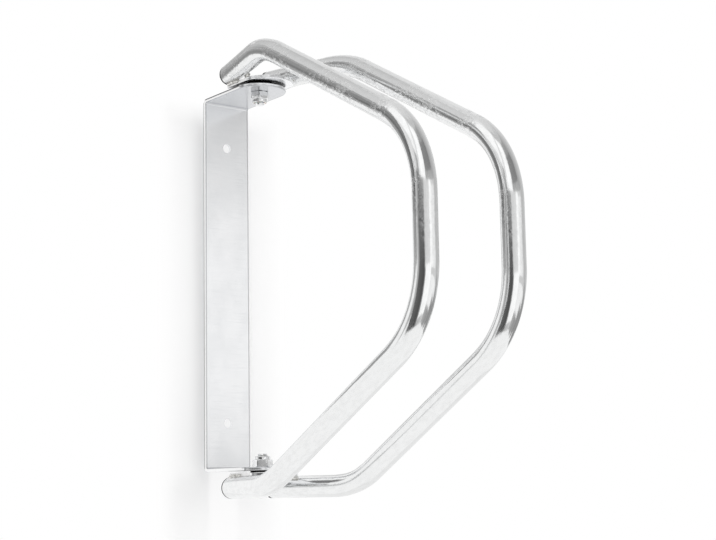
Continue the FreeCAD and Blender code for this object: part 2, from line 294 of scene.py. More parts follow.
class FinishColours(bpy.types.PropertyGroup):
    """Colours of the rack's finishes"""

    tube_bright: colour("Tube, bright", "Zinc plate on the tubes where it shines", (0.88, 0.885, 0.885))
    tube_dull: colour("Tube, dull", "Zinc plate on the tubes where it is cloudy", (0.79, 0.795, 0.795))
    strip_bright: colour("Strip, bright", "Zinc plate on the strip where it shines", (0.95, 0.955, 0.965))
    strip_dull: colour("Strip, dull", "Zinc plate on the strip where it is cloudy", (0.87, 0.88, 0.895))
    # Painted shade: darkens the undersides of the flanges
    strip_flange: colour("Strip, flanges", "Plate on the flanges, dull from bending", (0.66, 0.67, 0.69))
    # Painted black shade in the gap between the flanges and the swivel plates
    strip_seat: colour("Strip, seats", "Greased flanges under the swivel plates", (0.02, 0.02, 0.02))
    # Painted dark reflection of the rounded side edges
    strip_rim: colour("Strip, rims", "Dark rims beside the strip's slit edges", (0.46, 0.465, 0.475))
    # Painted highlight on the slit edges, standing for a reflection of the white wall
    strip_edge: colour("Strip, edges", "Slit edges of the strip, under a pale film", (0.98, 0.98, 0.98))
    # Painted shade along the back and upper outside corners of the slit edges
    strip_burr: colour("Strip, burrs", "Dark burrs along the outside of those edges", (0.03, 0.03, 0.03))
    fastener_bright: colour("Fasteners, bright", "Zinc plate on bolts and nuts", (0.90, 0.905, 0.91))
    fastener_dull: colour("Fasteners, dull", "Handled zinc plate on bolts and nuts", (0.74, 0.745, 0.75))
    weld_bright: colour("Weld, bright", "Crests of the weld beads", (0.91, 0.905, 0.885))
    weld_dull: colour("Weld, dull", "Hollows of the weld beads", (0.54, 0.53, 0.50))
    plug_black: colour("Plug, black", "Moulded plastic of the end plugs", (0.012, 0.012, 0.013))
    plug_scuffed: colour("Plug, scuffed", "Rubbed plastic of the end plugs", (0.045, 0.045, 0.047))
    nylon_clean: colour("Nylon, clean", "Ring in the lock nut", (0.80, 0.80, 0.74))
    nylon_soiled: colour("Nylon, soiled", "That ring where the thread cut it", (0.55, 0.54, 0.47))


class StageSettings(bpy.types.PropertyGroup):
    """Camera, wall, floor and light"""

    camera_azimuth: angle("Camera azimuth", "From straight in front towards the right", -37.615)
    camera_elevation: angle("Camera elevation", "Above the level", -8.526)
    camera_roll: angle("Camera roll", "Turn about the line of sight", -1.052)
    camera_distance: length("Camera distance", "From the camera to its target", 1049)
    camera_target: FloatVectorProperty(name="Camera target", description="Point in the picture's middle",
                                       default=(0.022896, -0.137889, -0.004863), size=3,
                                       subtype="XYZ_LENGTH")
    camera_lens: number("Lens", "Focal length in millimetres", 74.42, unit="CAMERA")
    wall_half_width: length("Wall half width", "Piece of wall that takes the rack's shadow", 58)
    wall_low: length("Wall bottom", "Lower edge of that piece of wall", -240)
    wall_high: length("Wall top", "Upper edge of that piece of wall", 143)
    wall_gap: length("Wall gap", "Between the bracket and the white wall", 4.5)
    wall_fade: length("Wall fade", "Width of its rim, where it turns plain white", 22)
    wall_clear: length("Wall clear", "Half width of the paler wall behind the screw holes", 8)
    hole_shade: share("Hole shade", "Share of the shadow that is left behind the screw holes", 0.35)
    wall_lit: share("Wall paper", "Share of the wall's white that comes from light on it", 0.9)
    floor_lit: share("Floor paper", "Share of the floor's white that comes from light on it", 0.8)
    floor_level: length("Floor level", "Height of the floor", -420)
    floor_back: length("Floor back", "Back edge of the floor", 2500)
    floor_front: length("Floor front", "Middle of the floor's front edge", -550)
    floor_round: length("Floor rounding", "Width of the floor's rounded front corner", 510)
    floor_depth: length("Floor depth", "Depth of the floor's rounded front corner", 460)
    floor_fade: length("Floor fade", "From the rack to where the floor starts to turn plain white", 1200)
    card_centre: length("Card centre", "Middle of the dome of cards, along Y", -250)
    card_distance: length("Card distance", "Radius of the dome of cards", 1600)
    room_light: share("Room light", "Light of the white room on dull surfaces", 0.95)
    key_power: number("Key lamp", "Power of the side lamp in watts", 4.0, unit="POWER")
    key_azimuth: angle("Key azimuth", "From straight in front towards the right", 62)
    key_elevation: angle("Key elevation", "Above the level", 12)
    key_distance: length("Key distance", "From the rack to the side lamp", 1600)
    key_size: length("Key size", "Diameter of the side lamp", 1200)


class RackSettings(bpy.types.PropertyGroup):
    """All settings of the rack"""

    hoops: group(HoopSizes, "Hoops")
    welds: group(WeldSizes, "Welds")
    fasteners: group(FastenerSizes, "Fasteners")
    colours: group(FinishColours, "Colours")
    stage: group(StageSettings, "Stage")


# Meshes

def new_mesh(name, vertices, faces):
    """Closed mesh with its faces turned outwards, smooth apart from its creases."""
    mesh = bpy.data.meshes.new(name)
    mesh.from_pydata(vertices, [], faces)
    work = bmesh.new()
    work.from_mesh(mesh)
    bmesh.ops.recalc_face_normals(work, faces=work.faces)
    work.to_mesh(mesh)
    work.free()
    mesh.shade_smooth()
    mesh.set_sharp_from_angle(angle=CREASE_ANGLE)
    return mesh


def add_object(name, data):
    """Puts an object into the scene."""
    thing = bpy.data.objects.new(name, data)
    bpy.context.scene.collection.objects.link(thing)
    return thing


def add_piece(mesh, body, node, finish):
    """Puts a mesh into the scene in place of a node."""
    piece = add_object(mesh.name, mesh)
    mesh.materials.append(finish)
    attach(piece, body)
    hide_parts(node)


def ring_faces(rings, sides, closed):
    """Faces between rings of equal size, joined from the last to the first or capped at both ends."""
    faces = []
    for ring in range(rings if closed else rings - 1):
        here = ring * sides
        there = (ring + 1) % rings * sides
        for side in range(sides):
            beside = (side + 1) % sides
            faces.append((here + side, here + beside, there + beside, there + side))
    if not closed:
        for first in (0, (rings - 1) * sides):
            faces.append(tuple(range(first, first + sides)))
    return faces


def keep_values(mesh, name, values):
    """Keeps a value on each point of a mesh, for its finish."""
    attribute = mesh.attributes.new(name, "FLOAT", "POINT")
    attribute.data.foreach_set("value", values)


def turn_over(point):
    """The same point at the lower pivot."""
    return Vector((point.x, point.y, -point.z))


def smooth_step(value):
    """Rises gently from 0 at 0 to 1 at 1."""
    value = min(max(value, 0), 1)
    return value * value * (3 - 2 * value)


def between(ends, done):
    """Value a share of the way from the first end to the second."""
    return ends[0] + (ends[1] - ends[0]) * done


# Hoops

def tube_line(sizes, sign):
    """Point beside the upper pivot on a tube's middle line, and the line's level direction."""
    radius = sizes.tube_diameter / 2
    level = PLATE_HIGH.z + sizes.seat_gap + radius
    beside_pivot = Vector((sign * (PLATE_HIGH.x + sizes.overhang), PIVOT_Y, level))
    spread = sizes.slot_at_first_bend / 2 + radius
    first_bend = Vector((sign * spread, PIVOT_Y - sizes.first_bend_out, level))
    return beside_pivot, (first_bend - beside_pivot).normalized()


def hoop_corners(sizes, sign):
    """Corners of one hoop's middle line, from its upper end round to its lower end."""
    radius = sizes.tube_diameter / 2
    beside_pivot, along = tube_line(sizes, sign)
    outward = -along.y
    end = beside_pivot - along * (sizes.past_pivot / outward)
    first_bend = beside_pivot + along * (sizes.first_bend_out / outward)
    upright_spread = sizes.slot_at_uprights / 2 + radius
    upright = Vector((sign * upright_spread, radius - sizes.reach, sizes.upright_height / 2))
    upper = [end, first_bend, upright]
    return upper + [turn_over(corner) for corner in reversed(upper)]


def straight_stations(start, end, distance, step):
    """Stations on a straight run, without its last point."""
    run = end - start
    count = max(1, math.ceil(run.length / step))
    along = run.normalized()
    stations = []
    for index in range(count):
        done = index / count
        stations.append(Station(start + run * done, along, Vector(), 0, 0, distance + run.length * done))
    return stations


def bend_stations(start, back, ahead, half_turn, distance, sizes):
    """Stations round a bend, without its last point, with its flattening and its wrinkles."""
    radius = sizes.bend_radius
    inward = (back + ahead).normalized()
    setback = radius * math.tan(half_turn)
    corner = start - back * setback
    centre = corner + inward * (radius / math.cos(half_turn))
    arc_length = 2 * half_turn * radius
    count = max(2, math.ceil(arc_length / sizes.ring_step))
    first_arm = start - centre
    axis = first_arm.cross(-back).normalized()
    stations = []
    for index in range(count):
        turn = 2 * half_turn * index / count
        arm = Matrix.Rotation(turn, 3, axis) @ first_arm
        done = arc_length * index / count
        from_end = min(done, arc_length - done)
        bend = smooth_step(from_end / sizes.tube_diameter)
        wrinkle = math.exp(-((from_end / sizes.wrinkle_length - 1) ** 2))
        along = axis.cross(arm).normalized()
        stations.append(Station(centre + arm, along, -arm.normalized(), bend, wrinkle, distance + done))
    return stations


def hoop_stations(sizes, sign):
    """Stations along the whole hoop."""
    corners = hoop_corners(sizes, sign)
    stations = []
    start = corners[0]
    distance = 0
    for before, corner, after in zip(corners, corners[1:], corners[2:]):
        back = (before - corner).normalized()
        ahead = (after - corner).normalized()
        half_turn = (math.pi - back.angle(ahead)) / 2
        setback = sizes.bend_radius * math.tan(half_turn)
        arc_start = corner + back * setback
        stations += straight_stations(start, arc_start, distance, sizes.ring_step)
        distance += (arc_start - start).length
        stations += bend_stations(arc_start, back, ahead, half_turn, distance, sizes)
        distance += 2 * half_turn * sizes.bend_radius
        start = corner + ahead * setback
    stations += straight_stations(start, corners[-1], distance, sizes.ring_step)
    along = (corners[-1] - start).normalized()
    distance += (corners[-1] - start).length
    stations.append(Station(corners[-1], along, Vector(), 0, 0, distance))
    return stations


def tube_ring(station, sizes, radius):
    """Points of one ring of the tube, each with its turn about the middle line."""
    across = (RIGHT - station.along * RIGHT.dot(station.along)).normalized()
    upright = station.along.cross(across)
    for side in range(sizes.sides):
        turn = math.tau * side / sizes.sides
        direction = across * math.cos(turn) + upright * math.sin(turn)
        inside = station.inward.dot(direction)
        shape = sizes.wrinkle * station.wrinkle * max(inside, 0) ** 3
        shape -= sizes.bend_flat * station.bend * max(-inside, 0) ** 2
        yield station.place + direction * (radius + shape), turn


def hoop_mesh(name, sizes, sign):
    """Tube wall of one hoop, whose points keep their place on the straight tube and how bent it is."""
    outside = sizes.tube_diameter / 2
    stations = hoop_stations(sizes, sign)
    vertices = []
    straight_places = []
    bends = []
    for radius, walk in ((outside, stations), (outside - sizes.tube_wall, stations[::-1])):
        for station in walk:
            for place, turn in tube_ring(station, sizes, radius):
                vertices.append(place)
                straight_places.append((station.distance, radius * math.cos(turn), radius * math.sin(turn)))
                bends.append(station.bend)
    faces = ring_faces(2 * len(stations), sizes.sides, closed=True)
    mesh = new_mesh(name, vertices, faces)
    places = mesh.attributes.new("straight_tube", "FLOAT_VECTOR", "POINT")
    places.data.foreach_set("vector", [number for place in straight_places for number in place])
    keep_values(mesh, "bend", bends)
    return mesh


# Welds

def bead_mesh(name, start, end, crest, radius, sizes, draws):
    """Rippled weld bead along a line, with crescents that lag behind at its edges."""
    run = end - start
    along = run.normalized()
    across = along.cross(crest).normalized()
    total = run.length + 2 * radius
    rings = max(FEWEST_BEAD_RINGS, round(total / sizes.ripple_pitch * RINGS_PER_RIPPLE))
    phase = draws.uniform(0, math.tau)
    sways = [draws.uniform(-1, 1) for _ in range(BEAD_SWAYS)]
    vertices = []
    for ring in range(1, rings):
        done = total * ring / rings
        from_end = min(done, total - done, radius)
        cap = math.sqrt(max(0, 1 - (1 - from_end / radius) ** 2))
        wave = abs(math.sin(math.pi * done / sizes.ripple_pitch + phase))
        swell = 1 + sizes.ripple_height * (wave - 1)
        swell += sizes.wander * sum(sway * math.sin((order + 1) * SWAY_TURN * done / total + phase * order)
                                    for order, sway in enumerate(sways)) / BEAD_SWAYS
        middle = start + along * (done - radius)
        middle += across * (sizes.wander * radius * math.sin(math.tau * done / total + phase))
        for side in range(BEAD_SIDES):
            turn = math.tau * side / BEAD_SIDES
            rise = math.cos(turn)
            lag = sizes.ripple_pitch * RIPPLE_LAG * (rise - 1) * cap
            direction = crest * rise + across * math.sin(turn)
            vertices.append(middle + direction * (radius * cap * swell) + along * lag)
    return new_mesh(name, vertices, ring_faces(rings - 1, BEAD_SIDES, closed=False))


def outer_bead_line(hoop, sizes, sign):
    """Middle line of the bead along the edge of the upper swivel plate."""
    across = sign * (PLATE_HIGH.x + sizes.outer_offset)
    height = PLATE_HIGH.z + sizes.outer_rise
    back = PIVOT_Y + hoop.past_pivot - sizes.outer_setback - sizes.outer_radius
    start = Vector((across, back, height))
    end = Vector((across, PIVOT_Y - sizes.outer_front, height))
    crest = Vector((sign, 0, -OUTER_CREST_DROP)).normalized()
    return start, end, crest


def inner_bead_line(hoop, sizes, sign):
    """Middle line of the bead on the wheel side of a tube's upper end."""
    beside_pivot, along = tube_line(hoop, sign)
    inward = Vector((along.y, -along.x, 0)) * sign
    drop = beside_pivot.z - PLATE_HIGH.z - sizes.inner_rise
    reach = hoop.tube_diameter / 2 + sizes.inner_standoff
    shift = inward * math.sqrt(reach * reach - drop * drop) - UP * drop
    start = beside_pivot + along * (sizes.inner_start / -along.y) + shift
    end = beside_pivot + along * (sizes.inner_end / -along.y) + shift
    crest = (inward + UP * INNER_CREST_RISE).normalized()
    return start, end, crest


# Fasteners

def round_ring(radius, height):
    """Ring of a round shape."""
    return lambda turn: (radius, height)


def hexagon_ring(limit, height, flats, first_corner):
    """Ring of a hexagon that a cone has cut back to a limit."""
    sector = math.tau / HEX_SIDES

    def at(turn):
        from_flat = (turn - first_corner) % sector - sector / 2
        return min(flats / 2 / math.cos(from_flat), limit), height
    return at


def thread_ring(height, sizes, fade):
    """Ring of a screw thread."""
    def at(turn):
        phase = (height / sizes.thread_pitch - turn / math.tau) % 1
        depth = sizes.thread_depth * min(1, THREAD_STEEPNESS * abs(2 * phase - 1))
        return sizes.thread_diameter / 2 - depth * fade, height
    return at


def turned_mesh(name, rings, level, sides, closed):
    """Mesh of rings about the pivot axis, closed at both ends or round its bore."""
    vertices = []
    for ring in rings:
        for side in range(sides):
            turn = math.tau * side / sides
            radius, height = ring(turn)
            deep = PIVOT_Y + radius * math.sin(turn)
            vertices.append((radius * math.cos(turn), deep, height * LEVELS[level]))
    return new_mesh(name, vertices, ring_faces(len(rings), sides, closed))


def chamfered_hexagon(bottom, top, sizes, first_corner):
    """Rings of a hexagon whose corners are cut back at the top."""
    top_radius = sizes.flats / 2 - sizes.chamfer_inset
    corner_radius = sizes.flats / 2 / math.cos(math.pi / HEX_SIDES)
    cut = math.copysign((corner_radius - top_radius) * CHAMFER_SLOPE, top - bottom)
    rings = [hexagon_ring(corner_radius, bottom, sizes.flats, first_corner)]
    for step in range(CHAMFER_STEPS + 1):
        done = step / CHAMFER_STEPS
        limit = between((corner_radius, top_radius), done)
        rings.append(hexagon_ring(limit, top + (done - 1) * cut, sizes.flats, first_corner))
    return rings


def bolt_mesh(level, sizes):
    """Hexagon bolt with a threaded end."""
    top = BOLT_HIGH.z
    seat = top - sizes.head_height
    end = BOLT_LOW.z
    radius = sizes.thread_diameter / 2
    rings = chamfered_hexagon(seat, top, sizes, sizes.head_turn)[::-1]
    rings.append(round_ring(radius, seat))
    thread_top = end + sizes.thread_length
    rings.append(round_ring(radius, thread_top + sizes.thread_pitch))
    count = round((sizes.thread_length - sizes.end_chamfer) / sizes.thread_pitch * RINGS_PER_THREAD_TURN)
    for step in range(count + 1):
        height = between((thread_top, end + sizes.end_chamfer), step / count)
        rings.append(thread_ring(height, sizes, smooth_step((thread_top - height) / sizes.thread_pitch)))
    rings.append(round_ring(radius - sizes.end_chamfer, end))
    return turned_mesh(level + "_bolt", rings, level, sizes.sides, closed=False)


def nut_mesh(level, sizes, first_corner):
    """Lock nut: hexagon bevelled at both ends, with a round collar over the nylon ring."""
    seat = NUT_HIGH.z
    end = NUT_LOW.z
    shoulder = seat - sizes.nut_hex_height
    middle = (seat + shoulder) / 2
    bore = sizes.nut_bore / 2
    recess = INSERT_HIGH.x + RECESS_CLEARANCE
    recess_top = INSERT_HIGH.z + RECESS_CLEARANCE
    rings = [round_ring(bore, seat)]
    rings += chamfered_hexagon(middle, seat, sizes, first_corner)[::-1]
    rings += chamfered_hexagon(middle, shoulder, sizes, first_corner)
    rings.append(round_ring(sizes.collar_radius, shoulder))
    for step in range(COLLAR_STEPS + 1):
        turn = math.pi / 2 * step / COLLAR_STEPS
        rings.append(round_ring(sizes.collar_radius - sizes.collar_round * (1 - math.cos(turn)),
                                end + sizes.collar_round * (1 - math.sin(turn))))
    rings += [round_ring(recess, end), round_ring(recess, recess_top), round_ring(bore, recess_top)]
    return turned_mesh(level + "_nut", rings, level, sizes.sides, closed=True)


# Finishes

class Finish:
    """Builds the nodes of one material, or of the world."""

    def __init__(self, owner, output="ShaderNodeOutputMaterial"):
        self.owner = owner
        owner.use_nodes = True
        self.tree = owner.node_tree
        self.tree.nodes.clear()
        self.output = self.add(output)

    def add(self, kind, inputs=None, **settings):
        """A node with its settings, and its inputs linked or set."""
        node = self.tree.nodes.new(kind)
        for name, value in settings.items():
            setattr(node, name, value)
        for name, value in (inputs or {}).items():
            self.feed(node.inputs[name], value)
        return node

    def feed(self, socket, value):
        """Links a socket to another or to a node's first output, or sets it."""
        if isinstance(value, bpy.types.Node):
            value = value.outputs[0]
        if isinstance(value, bpy.types.NodeSocket):
            self.tree.links.new(value, socket)
        else:
            socket.default_value = value

    def surface(self, shader):
        """Makes a shader the surface of the material or the world, and returns that."""
        self.feed(self.output.inputs["Surface"], shader)
        return self.owner

    def coat(self, base, roughness, normal, bare=1, others=None):
        """Surface with its colour, roughness, normal, share of bare metal and values of other sockets."""
        inputs = {"Base Color": base, "Roughness": roughness, "Normal": normal, "Metallic": bare}
        return self.surface(self.add("ShaderNodeBsdfPrincipled", {**inputs, **(others or {})}))

    def object_place(self):
        """Place on the piece in the rack's own frame."""
        return self.add("ShaderNodeTexCoord").outputs["Object"]

    def axes(self, place):
        """The three numbers of a place."""
        return self.add("ShaderNodeSeparateXYZ", {0: place}).outputs

    def attribute(self, name, output="Fac"):
        """Value kept on the mesh."""
        return self.add("ShaderNodeAttribute", attribute_name=name).outputs[output]

    def noise(self, place, size, stretch=(1, 1, 1), detail=2, rough=0.5):
        """Cloudy pattern with patches of a size in millimetres, stretched along some of its axes."""
        scale = tuple(1 / (size * MM * amount) for amount in stretch)
        scaled = self.add("ShaderNodeVectorMath", {0: place, 1: scale}, operation="MULTIPLY")
        inputs = {"Vector": scaled, "Scale": 1.0, "Detail": detail, "Roughness": rough}
        return self.add("ShaderNodeTexNoise", inputs).outputs[0]

    def remap(self, value, low, high, to_low=0, to_high=1):
        """Carries a stretch of values to another, smoothly and with nothing outside it."""
        inputs = {"Value": value, "From Min": low, "From Max": high, "To Min": to_low, "To Max": to_high}
        return self.add("ShaderNodeMapRange", inputs, interpolation_type="SMOOTHSTEP").outputs[0]

    def rise(self, value, limit, stretch, to_low=0, to_high=1):
        """From 0 to 1, or between other numbers, over a stretch in millimetres past a limit."""
        return self.remap(value, limit + stretch[0] * MM, limit + stretch[1] * MM, to_low, to_high)

    def fall(self, value, limit, stretch):
        """From 1 to 0 over such a stretch."""
        return self.rise(value, limit, stretch, 1, 0)

    def band(self, value, limit, stretch):
        """From 0 to 1 and back over such a stretch."""
        return self.times(self.rise(value, limit, stretch[:2]), self.fall(value, limit, stretch[2:]))

    def math(self, operation, *values):
        """Arithmetic on one value, or on several from left to right."""
        result = values[0]
        for other in values[1:] or (0,):
            result = self.add("ShaderNodeMath", {0: result, 1: other}, operation=operation).outputs[0]
        return result

    def times(self, *values):
        """Product of values."""
        return self.math("MULTIPLY", *values)

    def plus(self, *values):
        """Sum of values."""
        return self.math("ADD", *values)

    def blend(self, amount, first, second):
        """Mixes two colours."""
        node = self.add("ShaderNodeMix", data_type="RGBA")
        sockets = {socket.identifier: socket for socket in node.inputs}
        self.feed(sockets["Factor_Float"], amount)
        for name, value in (("A_Color", first), ("B_Color", second)):
            self.feed(sockets[name], value if isinstance(value, bpy.types.NodeSocket) else (*value, 1))
        return next(socket for socket in node.outputs if socket.identifier == "Result_Color")

    def relief(self, *layers):
        """Normal of a surface raised by patterns, each with its depth in millimetres, one over another."""
        under = {}
        for height, depth in layers:
            inputs = {"Height": height, "Distance": depth * MM, "Strength": 1.0, **under}
            under = {"Normal": self.add("ShaderNodeBump", inputs)}
        return under["Normal"]


def new_finish(name):
    """Finish without a surface yet."""
    return Finish(bpy.data.materials.new(name))


def zinc_tube_finish(colours):
    """Bright zinc plate on drawn tube: mottled runs, smoother bends and matte flecks high up."""
    finish = new_finish("zinc_plated_tube")
    place = finish.attribute("straight_tube", "Vector")
    calm = finish.remap(finish.attribute("bend"), 0, 1, 1, 0.15)
    clouds = finish.noise(place, 9, stretch=(2.5, 1, 1), detail=3)
    mottle = finish.noise(place, 2.6, stretch=(2.2, 1, 1), detail=4, rough=0.6)
    drawn = finish.noise(place, 0.7, stretch=(30, 1, 1))
    waves = finish.times(finish.noise(place, 3, stretch=(2.2, 1, 1), detail=1), calm)
    patches = finish.remap(finish.noise(place, 14, stretch=(2, 1, 1)), 0.40, 0.56)
    spots = finish.remap(finish.noise(place, 1.8, stretch=(1.6, 1, 1)), 0.48, 0.62)
    high_up = finish.rise(finish.axes(finish.object_place())["Z"], 0, FLECK_START)
    flecks = finish.times(spots, high_up, patches, calm)
    faint_flecks = finish.times(flecks, 0.35)
    base = finish.blend(finish.remap(mottle, 0.35, 0.7, 0, 0.6), colours.tube_bright, colours.tube_dull)
    base = finish.blend(faint_flecks, base, colours.tube_dull)
    rough = finish.plus(finish.remap(clouds, 0.3, 0.7, 0.07, 0.12),
                        finish.remap(mottle, 0.35, 0.75, 0, 0.05), faint_flecks)
    normal = finish.relief((drawn, 0.01), (waves, 0.06), (flecks, 0.06), (clouds, 0.1))
    return finish.coat(base, rough, normal)


def zinc_strip_finish(name, colours, bare):
    """Bright zinc plate on rolled strip: faint lines across it, painted shade under the flanges, painted
    dark reflections beside the slit edges, a painted highlight on those edges, painted shade along their
    back and upper outside corners, and painted black shade in the seats under the swivel plates."""
    finish = new_finish(name)
    place = finish.object_place()
    clouds = finish.noise(place, 22, stretch=(1, 1, 1.4), detail=3)
    lines = finish.noise(place, 0.8, stretch=(26, 3, 1), detail=3)
    grain = finish.noise(place, 1.1, stretch=(2, 1, 1), detail=4, rough=0.65)
    x, y, z = finish.axes(place)
    across = finish.math("ABSOLUTE", x)
    height = finish.math("ABSOLUTE", z)
    side = STRIP_HIGH.x
    top = STRIP_HIGH.z
    # Painted shade on the undersides of the flanges
    flange = finish.band(height, top, FLANGE_SHADE_BAND)
    # Painted dark reflection on the rounded side edges
    rim = finish.band(across, side, RIM_REFLECTION_BAND)
    # Painted highlight on the slit edges, nearly white
    edge = finish.rise(across, side, EDGE_START)
    # Painted shade along the back of the slit edges and the upper flange's outside corner
    outside = finish.math("MAXIMUM", finish.rise(y, 0, CORNER_SHADE_START), finish.rise(z, top, CORNER_SHADE_START))
    corner_shade = finish.times(outside, finish.fall(height, top, CORNER_SHADE_END), edge)
    # Painted black shade in the gap between the flanges and the swivel plates
    seat = finish.times(finish.band(height, top, SEAT_SHADE_BAND), finish.fall(y, PLATE_HIGH.y, SEAT_SHADE_END))
    dull = finish.plus(finish.remap(clouds, 0.35, 0.7, 0, 0.5), finish.remap(lines, 0.45, 0.75, 0, 0.5))
    base = finish.blend(dull, colours.strip_bright, colours.strip_dull)
    for mask, coat in ((flange, colours.strip_flange), (rim, colours.strip_rim), (edge, colours.strip_edge),
                       (corner_shade, colours.strip_burr), (seat, colours.strip_seat)):
        base = finish.blend(mask, base, coat)
    rough = finish.plus(finish.remap(clouds, 0.3, 0.7, 0.15, 0.2), finish.remap(grain, 0.4, 0.7, 0, 0.04))
    normal = finish.relief((lines, 0.008), (grain, 0.005), (clouds, 0.12))
    # The slit edges are mostly not metal, so the room light makes their painted highlight bright
    return finish.coat(base, rough, normal, finish.remap(edge, 0, 1, bare, BARE_EDGE))


def zinc_fastener_finish(colours):
    """Zinc plate on cold headed bolts and nuts, darker where it was handled."""
    finish = new_finish("zinc_plated_fastener")
    place = finish.object_place()
    clouds = finish.noise(place, 3, detail=4)
    grain = finish.noise(place, 0.5, detail=3, rough=0.6)
    handled = finish.remap(clouds, 0.4, 0.65, 0, 0.8)
    base = finish.blend(handled, colours.fastener_bright, colours.fastener_dull)
    rough = finish.remap(clouds, 0.35, 0.7, 0.08, 0.16)
    normal = finish.relief((grain, 0.005), (clouds, 0.02))
    return finish.coat(base, rough, normal)


def weld_finish(colours):
    """Plated weld metal, slightly yellow, with spatter and heat tint."""
    finish = new_finish("plated_weld")
    place = finish.object_place()
    clouds = finish.noise(place, 1.5, detail=4, rough=0.6)
    grain = finish.noise(place, 0.45, detail=3)
    base = finish.blend(finish.remap(clouds, 0.38, 0.62), colours.weld_bright, colours.weld_dull)
    rough = finish.remap(grain, 0.3, 0.7, 0.22, 0.42)
    normal = finish.relief((grain, 0.05), (clouds, 0.2))
    return finish.coat(base, rough, normal)


def black_plastic_finish(colours):
    """Moulded black plastic with a fine grain and light scuffs."""
    finish = new_finish("moulded_black_plastic")
    place = finish.object_place()
    grain = finish.noise(place, 0.35, detail=3)
    scuffs = finish.noise(place, 2.5, stretch=(1, 4, 1), detail=5, rough=0.7)
    base = finish.blend(finish.remap(scuffs, 0.55, 0.8), colours.plug_black, colours.plug_scuffed)
    rough = finish.remap(scuffs, 0.4, 0.75, 0.6, 0.75)
    return finish.coat(base, rough, finish.relief((grain, 0.02)), 0, {"Specular IOR Level": 0.15})


def nylon_finish(colours):
    """Natural nylon, soiled where the thread cut into it."""
    finish = new_finish("natural_nylon")
    place = finish.object_place()
    soil = finish.noise(place, 1.2, detail=4)
    grain = finish.noise(place, 0.3)
    base = finish.blend(finish.remap(soil, 0.45, 0.7), colours.nylon_clean, colours.nylon_soiled)
    rough = finish.remap(soil, 0.3, 0.7, 0.35, 0.55)
    depth = {"Subsurface Weight": 0.2, "Subsurface Scale": 0.5 * MM}
    return finish.coat(base, rough, finish.relief((grain, 0.02)), 0, depth)


def paint_nodes(names, finish):
    """Gives carried-over nodes a finish."""
    for name in names:
        mesh = frame["nodes"][name].data
        mesh.materials.clear()
        mesh.materials.append(finish)


# Stage

def add_sheet(name, grid, place, marks, finish):
    """Grid of faces that is not part of the rack, with the marks for its finish kept on each point."""
    rows, columns = grid
    width = columns + 1
    spots = [(row / rows, column / columns) for row in range(rows + 1) for column in range(width)]
    firsts = [row * width + column for row in range(rows) for column in range(columns)]
    mesh = bpy.data.meshes.new(name)
    mesh.from_pydata([place(*spot) for spot in spots], [],
                     [(first, first + 1, first + width + 1, first + width) for first in firsts])
    mesh.materials.append(finish)
    for mark, value in marks.items():
        keep_values(mesh, mark, [value(*spot) for spot in spots])
    sheet = add_object(name, mesh)
    sheet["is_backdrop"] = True
    return sheet


def white_paper_finish(name, lit):
    """White paper that takes soft shadows, plain white in the metal where marked and clear from behind."""
    finish = new_finish(name)
    grain = finish.noise(finish.object_place(), 30, detail=4)
    white = finish.blend(grain, (lit,) * 3, (lit * 0.985,) * 3)
    paper = finish.add("ShaderNodeBsdfDiffuse", {"Color": white})
    glow = finish.add("ShaderNodeEmission", {"Strength": 1 - lit})
    both = finish.add("ShaderNodeAddShader", {0: paper, 1: glow})
    plain = finish.add("ShaderNodeEmission", {"Strength": 1.0})
    in_metal = finish.add("ShaderNodeLightPath").outputs["Is Glossy Ray"]
    whitened = finish.times(in_metal, finish.attribute("white_in_metal"))
    shaded = finish.times(finish.attribute("shaded"), finish.math("SUBTRACT", 1.0, whitened))
    faded = finish.add("ShaderNodeMixShader", {0: shaded, 1: plain, 2: both})
    clear = finish.add("ShaderNodeBsdfTransparent")
    behind = finish.add("ShaderNodeNewGeometry").outputs["Backfacing"]
    return finish.surface(finish.add("ShaderNodeMixShader", {0: behind, 1: faded, 2: clear}))


def add_wall(stage):
    """Piece of white wall behind the bracket that takes its shadow."""
    half = stage.wall_half_width
    low = stage.wall_low
    high = stage.wall_high

    def place(up, along):
        return half * (2 * along - 1), stage.wall_gap, between((low, high), up)

    def shaded(up, along):
        x, _, z = place(up, along)
        from_rim = min(half - abs(x), z - low, high - z)
        past_holes = abs(x) - stage.wall_clear
        behind_strip = max(stage.hole_shade, smooth_step(past_holes / stage.wall_clear))
        return smooth_step(from_rim / stage.wall_fade) * behind_strip

    def white_in_metal(up, along):
        return smooth_step((abs(place(up, along)[0]) - STRIP_HIGH.x) / stage.wall_gap)

    marks = {"shaded": shaded, "white_in_metal": white_in_metal}
    add_sheet("wall", WALL_GRID, place, marks, white_paper_finish("white_wall", stage.wall_lit))


def add_floor(stage):
    """Plain white floor below the rack, whose front edge is a rounded corner."""
    back = stage.floor_back
    front = stage.floor_front
    half = stage.floor_round * math.sqrt((1 + (back - front) / stage.floor_depth) ** 2 - 1)

    def place(deep, along):
        # Columns stand closer together towards the middle
        x = half * (2 * along - 1) ** 3
        edge = front + stage.floor_depth * (math.sqrt(1 + (x / stage.floor_round) ** 2) - 1)
        return x, between((edge, back), deep), stage.floor_level

    def shaded(deep, along):
        x, y, _ = place(deep, along)
        return smooth_step(2 - math.hypot(x, y - MIDDLE.y) / stage.floor_fade)

    def white_in_metal(deep, along):
        return 1

    marks = {"shaded": shaded, "white_in_metal": white_in_metal}
    add_sheet("floor", FLOOR_GRID, place, marks, white_paper_finish("white_floor", stage.floor_lit))


def studio_direction(azimuth, elevation):
    """Direction from the rack, with azimuth 0 in front of it and a quarter turn to its right."""
    level = math.cos(elevation)
    return Vector((math.sin(azimuth) * level, -math.cos(azimuth) * level, math.sin(elevation)))


